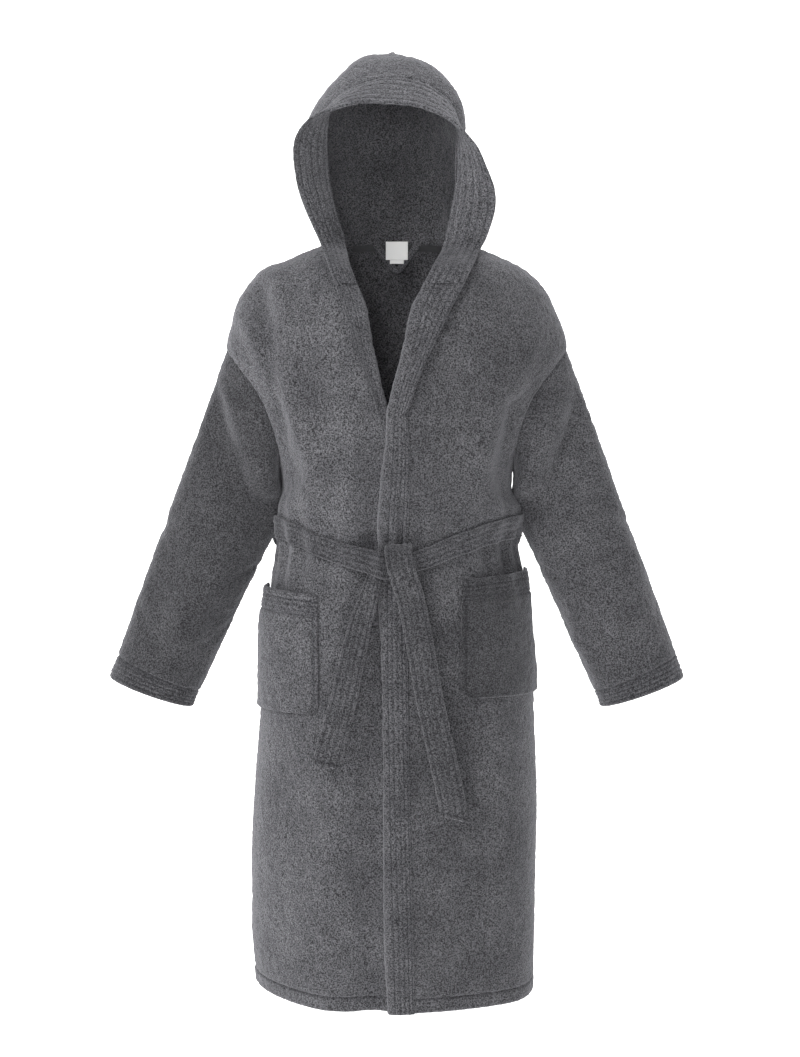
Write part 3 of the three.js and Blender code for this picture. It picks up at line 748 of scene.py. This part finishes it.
CROWN = path([
    (0, -0.064, 0.240), (-0.004, -0.026, 0.279), (-0.006, 0.024, 0.298), (-0.004, 0.078, 0.287),
    (0, 0.116, 0.245), (0, 0.130, 0.190),
])
NAPE = path([(0, 0.084, 0.004), (0, 0.100, 0.060), (0, 0.122, 0.128), (0, 0.130, 0.190)])
RIGHT_INNER = [
    (-0.078, -0.032, -0.006), (-0.090, -0.044, 0.034), (-0.101, -0.055, 0.076), (-0.106, -0.060, 0.120),
    (-0.106, -0.060, 0.160), (-0.098, -0.060, 0.193), (-0.076, -0.061, 0.217), (-0.040, -0.063, 0.234),
    (0, -0.064, 0.240),
]
LEFT_INNER = [
    (0.073, -0.032, -0.006), (0.082, -0.044, 0.034), (0.090, -0.055, 0.076), (0.093, -0.060, 0.118),
    (0.094, -0.060, 0.152), (0.088, -0.060, 0.184), (0.070, -0.061, 0.210), (0.038, -0.063, 0.230),
    (0, -0.064, 0.240),
]


def hood_half(side, inner):
    """One half's surface, from the hood band back to the nape and from the neck up to the crown."""
    base = path([
        inner[0], (side * 0.100, -0.014, -0.010), (side * 0.109, 0.002, -0.011),
        (side * 0.101, 0.036, -0.006), (side * 0.075, 0.064, 0), (side * 0.040, 0.079, 0.004),
        (0, 0.084, 0.004),
    ])
    front = path(inner)

    def shape(u, v):
        u = 1 - u if side < 0 else u
        s, t = u[..., None], v[..., None]
        p = base(u) * (1 - t) + CROWN(u) * t + front(v) * (1 - s) + NAPE(v) * s
        p -= (base(0.0) * (1 - s) + base(1.0) * s) * (1 - t)
        p -= (CROWN(0.0) * (1 - s) + CROWN(1.0) * s) * t
        wide, taper, rise, late, fall = HOOD_SHAPE[side]
        full = np.maximum(np.sin(math.pi * t), 0)
        out = np.where(t < 0.5, full, full**taper) * wide
        up = rise * np.maximum(np.sin(math.pi * t**late), 0) ** fall
        swell = np.concatenate([side * out, 0 * out, up], -1)
        return p + swell * (1 - (2 * s - 1) ** 4)
    return shape


def hood_folds(p, out):
    """Soft hollows of the hood, folds that rise from the neck seam, and the crown seam."""
    x, y, z = p.T
    free = smooth((z - 0.005) / 0.05)
    amount = 0.0060 * lumps(p + 6, 0.085) + 0.0025 * lumps(p * (1, 1, 0.7) + 2, 0.04)
    neck_folds = 0.003 * np.sin(np.arctan2(x, y) * 11) * ridge((z - 0.03) / 0.06)
    crown_seam = -0.0008 * ridge(x / 0.006)
    return p + out * ((amount * ridge(x / 0.5) + neck_folds) * free + crown_seam)[:, None]


for name, side, inner in (("right", -1, RIGHT_INNER), ("left", 1, LEFT_INNER)):
    half = make_sheet(f"hood_{name}_cloth", hood_half(side, inner), folds=hood_folds, edge=0.001)
    sew(
        half, TERRY, ("robe", "hood"), f"hood_{name}",
        (HOOD_START, HOOD_END),
    )

# ---- Hood band ----
# A folded facing round the hood's face edge, stitched in rows like the front bands, which it meets
# at the two cross seams. It stands out over the face as a visor, and turns outwards at the sides.
RIGHT_FREE = [
    (-0.114, -0.050, -0.012), (-0.125, -0.064, 0.013), (-0.137, -0.082, 0.040), (-0.146, -0.096, 0.068),
    (-0.151, -0.103, 0.098), (-0.152, -0.105, 0.127), (-0.145, -0.104, 0.150), (-0.122, -0.103, 0.174),
    (-0.088, -0.103, 0.187), (-0.045, -0.103, 0.192), (0, -0.103, 0.193),
]
LEFT_FREE = [
    (0.129, -0.048, -0.012), (0.140, -0.066, 0.012), (0.147, -0.086, 0.040), (0.145, -0.096, 0.068),
    (0.134, -0.102, 0.097), (0.120, -0.103, 0.126), (0.101, -0.103, 0.149), (0.076, -0.103, 0.170),
    (0.048, -0.103, 0.182), (0.020, -0.103, 0.191), (0, -0.103, 0.193),
]
HOOD_ROWS = (0.12, 0.30, 0.48, 0.66, 0.84)


def on_front(z, x, lift=0.004):
    """A point of the hood band's edge that lies on the front of the robe."""
    p = body(np.array([z]), angle_at(np.array([z]), x), False)[0]
    return (p[0], p[1] - lift, p[2])


def whole_edge(right_low, right, left, left_low):
    """An edge of the hood band, from the right cross seam over the face to the left one."""
    return path(right_low + right + left[::-1][1:] + left_low[::-1])


low_z = (BAND_TOP - SEAM_OVERLAP, -0.046)
free_edge = whole_edge(
    [on_front(z, right_free(z), 0.009) for z in low_z], RIGHT_FREE, LEFT_FREE,
    [on_front(z, left_free(z), 0.009) for z in low_z],
)
inner_edge = whole_edge(
    [on_front(z, right_roll(z) - 0.003) for z in low_z], RIGHT_INNER, LEFT_INNER,
    [on_front(z, left_roll(z) + 0.003) for z in low_z],
)


def hood_band(u, v):
    """The hood band's surface. u goes from the inner edge to the free one, v along the band."""
    s = u[..., None]
    p = inner_edge(v) * (1 - s) + free_edge(v) * s
    arch = np.sin(math.pi * u) * 0.005
    forward = np.array([0, -1, 0]) * (1 - smooth((p[..., 2:3] - 0.15) / 0.05))
    return p + arch[..., None] * forward


def hood_band_relief(across, along, wide, long):
    return rows(across, [place * wide for place in HOOD_ROWS])


def band_folds(p, out):
    """Slight waves of the hood band, where it is free."""
    free = smooth((p[:, 2] + 0.04) / 0.05)
    return p + out * (0.0030 * lumps(p + 4, 0.05) * free)[:, None]


band = make_sheet(
    "hood_band_cloth", hood_band, cell=0.0024, thickness=0.0052, lift=0.0026, edge=0.0034,
    relief=hood_band_relief, folds=band_folds, stitched_inside=1.0,
)
sew(
    band, BANDS, ("robe", "hood"),
    "hood_band", (HOOD_START, HOOD_END),
)

# ---- Pockets ----
# A patch of towelling on each front, sewn down on three sides. Its mouth has a stitched hem and
# stands off the robe. The lower corners are rounded.
POCKET_HEIGHT = 0.184
POCKET_HEM = 0.034
POCKET_BULGE = 0.014
POCKET_CORNER = 0.014
POCKET_WIDTH = 0.13
POCKET_SLOPE = 0.012  # the mouth falls this much towards the middle
POCKET_SIDE_DEPTH = 0.009  # its outer edge lies this far in front of the side seam
POCKET_STITCH = 0.006  # from its edge to the row of stitches
MOUTH_ROWS = (0.0015, 0.008, 0.0155, 0.023)
POCKETS = (("right", -1, 0.116, -0.532), ("left", 1, 0.096, -0.508))


def pocket(side, inner_x, mouth_z, low, high):
    """The robe's surface under a pocket, from its height low to high."""
    def shape(u, v):
        inward = u if side < 0 else 1 - u
        up = (low + (high - low) * v) * POCKET_HEIGHT
        slope = POCKET_SLOPE * (inward - 0.5) * up / POCKET_HEIGHT
        z = mouth_z - POCKET_HEIGHT + up - slope
        from_corner = np.clip(1 - up / POCKET_CORNER, 0, 1)
        narrow = POCKET_CORNER * (1 - np.sqrt(1 - from_corner**2)) / POCKET_WIDTH
        inward = narrow + (1 - 2 * narrow) * inward
        outer = np.arcsin(np.clip(POCKET_SIDE_DEPTH / level(z)[..., 1], 0, 1) ** (1 / ROUND))
        angle = outer + (angle_at(z, -inner_x) - outer) * inward
        return body(z, angle if side < 0 else math.pi - angle, False)
    return shape


def pocket_lift(side, low, high):
    """The pocket stands off the robe, most at its mouth."""
    def lift(u, v):
        up = low + (high - low) * v
        gape = np.sin(math.pi * (u if side < 0 else 1 - u) ** 0.8)
        return 0.0060 + POCKET_BULGE * gape * smooth((up + 0.1) / 1.0)
    return lift


def pocket_relief(across, along, wide, long):
    return rows(across, [POCKET_STITCH, wide - POCKET_STITCH], 0.0022, 0.0011)


def mouth_relief(across, along, wide, long):
    return rows(along, MOUTH_ROWS, 0.0021, 0.0015) + pocket_relief(across, along, wide, long)


for name, side, inner_x, mouth_z in POCKETS:
    split = 1 - POCKET_HEM / POCKET_HEIGHT
    bag = make_sheet(
        f"pocket_{name}_cloth", pocket(side, inner_x, mouth_z, 0, split), cell=0.003, thickness=0.0056,
        lift=pocket_lift(side, 0, split), relief=pocket_relief, folds=drape,
    )
    sew(bag, TERRY, "robe", f"pocket_{name}")
    mouth = make_sheet(
        f"pocket_hem_{name}_cloth", pocket(side, inner_x, mouth_z, split - 0.004, 1), cell=0.0024,
        thickness=0.0058, lift=pocket_lift(side, split - 0.004, 1), relief=mouth_relief, folds=drape,
    )
    sew(
        mouth, BANDS, "robe",
        f"pocket_hem_{name}",
    )

# ---- Belt ----
# A flat tie of folded towelling, stitched lengthwise in four rows. It starts behind the knot, goes
# round the waist past the left side, and comes back over itself from the right side.
BELT_THICKNESS = 0.0052
BELT_LIFT, BELT_STEP = 0.0062, 0.006
BELT_ROWS = (0.14, 0.38, 0.62, 0.86)
# Height of the belt's middle by x, in front, and half its width from one end to the other.
belt_height = curve([
    (-0.190, -0.437), (-0.165, -0.442), (-0.098, -0.470), (-0.040, -0.486), (-0.013, -0.494),
    (0.034, -0.484), (0.093, -0.462), (0.160, -0.441), (0.190, -0.437),
])
belt_half = curve([
    (0, 0.0150), (0.1, 0.0172), (0.25, 0.0180), (0.75, 0.0180), (0.9, 0.0165), (1, 0.0205),
])
BELT_BACK_Z = -0.437
BELT_FRONT_Z = -0.46  # its mean height in front, where its place round the body is measured
BELT_ENDS_Z = -0.49
BELT_FIRST_X, BELT_LAST_X = -0.012, 0.010  # its two ends, behind the knot


def belt(u, v):
    """The belt's surface. u goes from the knot to the left, round the back and home."""
    first, last = (angle_at(np.array([BELT_ENDS_Z]), x)[0] for x in (BELT_FIRST_X, BELT_LAST_X))
    quarters = 4 * u
    to_left = first + (math.pi - first) * quarters
    round_back = math.pi * (1 - (quarters - 1) / 2)
    from_right = (quarters - 3) * last
    angle = np.where(u < 0.25, to_left, np.where(u > 0.75, from_right, round_back))
    angle = np.clip(angle, 0, math.pi)
    behind = (u >= 0.25) & (u <= 0.75)
    x = body(np.full_like(u, BELT_FRONT_Z), angle, False)[..., 0]
    z = np.where(behind, BELT_BACK_Z, belt_height(x)) + (2 * v - 1) * belt_half(u)
    p = np.where(behind[..., None], body(z, angle, True), body(z, angle, False))
    return np.stack([p[..., 0], p[..., 1], z], -1)


def belt_lift(u, v):
    """The belt climbs over the front bands, and its last part over its first."""
    p = belt(u, v)
    over_bands = (1 - smooth((np.abs(p[..., 0]) - 0.030) / 0.035)) * (p[..., 1] < 0)
    over_belt = smooth((u - 0.93) / 0.05)
    return BELT_LIFT + BELT_STEP * over_bands + BELT_STEP * over_belt


def belt_relief(across, along, wide, long):
    return rows(along, [place * long for place in BELT_ROWS], 0.0021, 0.0014)


waist = make_sheet(
    "belt_waist_cloth", lambda u, v: belt(1 - u, 1 - v), cell=0.0024, thickness=BELT_THICKNESS,
    lift=lambda u, v: belt_lift(1 - u, 1 - v), relief=belt_relief, folds=drape, rough=0.7,
)
sew(
    waist, BANDS, "robe",
    "belt_waist",
)

# ---- Knot and hanging ends ----
# The belt's ends cross in a half knot. The left end comes up from behind, folds over the top of
# the belt and hangs down in front. The right end comes out below, pleated at its root.
TAIL_HALF = 0.0205
END_STITCH = 0.006  # from the end of the belt to the row across it


def ribbon(points, half, side, slant=0.0):
    """A strip along a path. half gives half its width from start to end, and side its direction."""
    line = path(points)
    side = np.array(side, float)

    def shape(u, v):
        run = v * (1 - slant * u)
        way = line(np.minimum(run + 1e-3, 1)) - line(np.maximum(run - 1e-3, 0))
        way /= np.linalg.norm(way, axis=-1, keepdims=True)
        across = side - (way @ side)[..., None] * way
        across /= np.linalg.norm(across, axis=-1, keepdims=True)
        return line(run) + across * ((2 * u - 1) * half(v))[..., None]
    return shape


def end_relief(across, along, wide, long):
    return rows(across, [place * wide for place in BELT_ROWS]) + rows(along, [long - END_STITCH])


def end_folds(p, out):
    """Slight waves along a hanging end."""
    return p + out * (0.0022 * lumps(p + 8, 0.045))[:, None]


left_end = make_sheet(
    "belt_end_left_cloth", ribbon([
        (0.008, -0.119, -0.500), (0.005, -0.121, -0.474), (0.003, -0.130, -0.4625),
        (0.002, -0.140, -0.470), (0.006, -0.1435, -0.492), (0.013, -0.1445, -0.515),
        (0.021, -0.1445, -0.540), (0.035, -0.146, -0.610), (0.048, -0.149, -0.684),
        (0.064, -0.152, -0.757), (0.080, -0.155, -0.831), (0.0865, -0.156, -0.874),
    ], curve([(0, 0.016), (0.08, 0.0195), (0.2, TAIL_HALF), (1, TAIL_HALF)]), (-1, 0, 0), slant=0.035),
    cell=0.0022, thickness=0.0050, lift=0.0025, relief=end_relief, folds=end_folds, stitched_inside=1.0,
)
sew(
    left_end, BANDS, ("robe", "belt_end_left"),
    "belt_end_left", ((0.013, -0.144, -0.505), (0.024, -0.144, -0.565)),
)

right_end = make_sheet(
    "belt_end_right_cloth", ribbon([
        (-0.024, -0.121, -0.488), (-0.033, -0.126, -0.508), (-0.042, -0.132, -0.540),
        (-0.053, -0.138, -0.575), (-0.066, -0.142, -0.630), (-0.078, -0.144, -0.686),
        (-0.092, -0.147, -0.740), (-0.105, -0.149, -0.788),
    ], curve([(0, 0.0095), (0.08, 0.0115), (0.25, 0.0160), (0.5, 0.0190), (1, 0.0215)]), (-1, 0, 0)),
    cell=0.0022, thickness=0.0050, lift=0.0025, relief=end_relief, folds=end_folds, stitched_inside=1.0,
)
sew(
    right_end, BANDS, ("robe", "belt_end_right"),
    "belt_end_right", ((-0.033, -0.130, -0.508), (-0.046, -0.130, -0.560)),
)

knot = make_sheet(
    "belt_knot_cloth", ribbon([
        (0.004, -0.118, -0.512), (0.006, -0.127, -0.518), (0.007, -0.1365, -0.504),
        (0.005, -0.1375, -0.482), (0.003, -0.128, -0.468), (0.003, -0.117, -0.478),
    ], curve([(0, 0.015), (1, 0.015)]), (1, 0, 0)),
    cell=0.0022, thickness=0.0045, lift=0.0022, relief=end_relief,
)
sew(knot, BANDS, "robe", "belt_knot")

# ---- Belt loops ----
# A narrow strap of folded towelling on each side seam, sewn down at both ends. The belt runs
# through it.
LOOP_HALF = 0.0075
for name, side in (("right", -1), ("left", 1)):
    strap = make_sheet(
        f"belt_loop_{name}_cloth", ribbon([
            (side * 0.1800, 0, -0.403), (side * 0.1825, 0, -0.408), (side * 0.1880, 0, -0.413),
            (side * 0.1910, 0, -0.424), (side * 0.1920, 0, -0.438), (side * 0.1915, 0, -0.452),
            (side * 0.1885, 0, -0.463), (side * 0.1835, 0, -0.468), (side * 0.1810, 0, -0.473),
        ], curve([(0, LOOP_HALF), (1, LOOP_HALF)]), (0, -side, 0)),
        cell=0.0014, thickness=0.0040, lift=0.0020, edge=0.0020, rough=0.4,
    )
    sew(strap, TERRY, "robe", f"belt_loop_{name}")

# ---- Neck tape ----
# A woven cotton tape that covers the neck seam inside, across the back. It is sewn down flat on
# the back panel.
TAPE_HALF_WIDTH, TAPE_HEIGHT, TAPE_THICKNESS = 0.072, 0.011, 0.0012


def woven(name, colour, threads, roughness):
    """Fine plain weave, its threads as a small bump."""
    material = bpy.data.materials.new(name)
    material.use_nodes = True
    nodes, links = material.node_tree.nodes, material.node_tree.links
    shader = nodes["Principled BSDF"]
    shader.inputs["Base Color"].default_value = (*colour, 1)
    shader.inputs["Roughness"].default_value = roughness
    shader.inputs["Sheen Weight"].default_value = 0.15
    where = nodes.new("ShaderNodeUVMap")
    where.uv_map = "cloth"
    weave = nodes.new("ShaderNodeTexChecker")
    weave.inputs["Scale"].default_value = threads
    bump = nodes.new("ShaderNodeBump")
    bump.inputs["Strength"].default_value = 0.4
    bump.inputs["Distance"].default_value = 0.0002
    links.new(where.outputs["UV"], weave.inputs["Vector"])
    links.new(weave.outputs["Fac"], bump.inputs["Height"])
    links.new(bump.outputs["Normal"], shader.inputs["Normal"])
    return material


def tape(u, v):
    z = NECK_Z - 0.0015 - TAPE_HEIGHT * (1 - v)
    edge = angle_at(z, -TAPE_HALF_WIDTH)
    return body(z, math.pi - edge + (2 * edge - math.pi) * u, True)


neck_tape = make_sheet(
    "neck_tape_cloth", tape, cell=0.0015, thickness=TAPE_THICKNESS, lift=-PILE - 0.0006, edge=0.0006,
    rough=0.1,
)
COTTON = woven("woven_tape", (0.045, 0.045, 0.049), 1500, 0.85)
sew(neck_tape, COTTON, "robe", "neck_tape")

# ---- Hanging loop ----
# A narrow folded strap of the same towelling, sewn into the neck seam at both ends. It hangs as a
# V over the tape.
LOOP_Y = 0.0754
LOOP_STRAP_HALF = 0.0052
hanging_loop = make_sheet(
    "hanging_loop_cloth", ribbon([
        (-0.034, LOOP_Y, 0.0065), (-0.026, LOOP_Y, -0.005), (-0.016, LOOP_Y, -0.0185),
        (-0.006, LOOP_Y, -0.0325), (0, LOOP_Y, -0.0365), (0.006, LOOP_Y, -0.0325),
        (0.016, LOOP_Y, -0.0185), (0.026, LOOP_Y, -0.005), (0.034, LOOP_Y, 0.0065),
    ], curve([(0, LOOP_STRAP_HALF), (1, LOOP_STRAP_HALF)]), (0, 0, 1)),
    cell=0.0012, thickness=0.0020, lift=0.0010, edge=0.0012, rough=0.3,
)
sew(hanging_loop, BANDS, "hanging_loop", "hanging_loop")

# ---- Labels ----
# A white woven label in the neck seam and a longer and narrower care label behind it. Both are
# plain, and hang loose in front of the hanging loop.
SATIN = woven("white_satin", (0.92, 0.92, 0.91), 2600, 0.55)
LABEL_TOP = 0.009


def hanging_label(width, drop, y, curl):
    """A label that hangs from its top edge, with its lower edge curled forwards."""
    def shape(u, v):
        x = (u - 0.5) * width
        down = (1 - v) * drop
        return np.stack([x, y - curl * (down / drop) ** 2 + 0.8 * x**2, LABEL_TOP - down], -1)
    return shape


def label_relief(across, along, wide, long):
    return rows(along, [long - 0.002], 0.0007, 0.0003)


for name, size, y, curl in (
    ("care_label", (0.022, 0.035), 0.0740, 0.0006), ("neck_label", (0.035, 0.029), 0.0728, 0.0010),
):
    label = make_sheet(
        f"{name}_cloth", hanging_label(*size, y, curl), cell=0.0010, thickness=0.0006, edge=0.0003,
        relief=label_relief, rough=0.0,
    )
    sew(label, SATIN, "neck_labels", name)
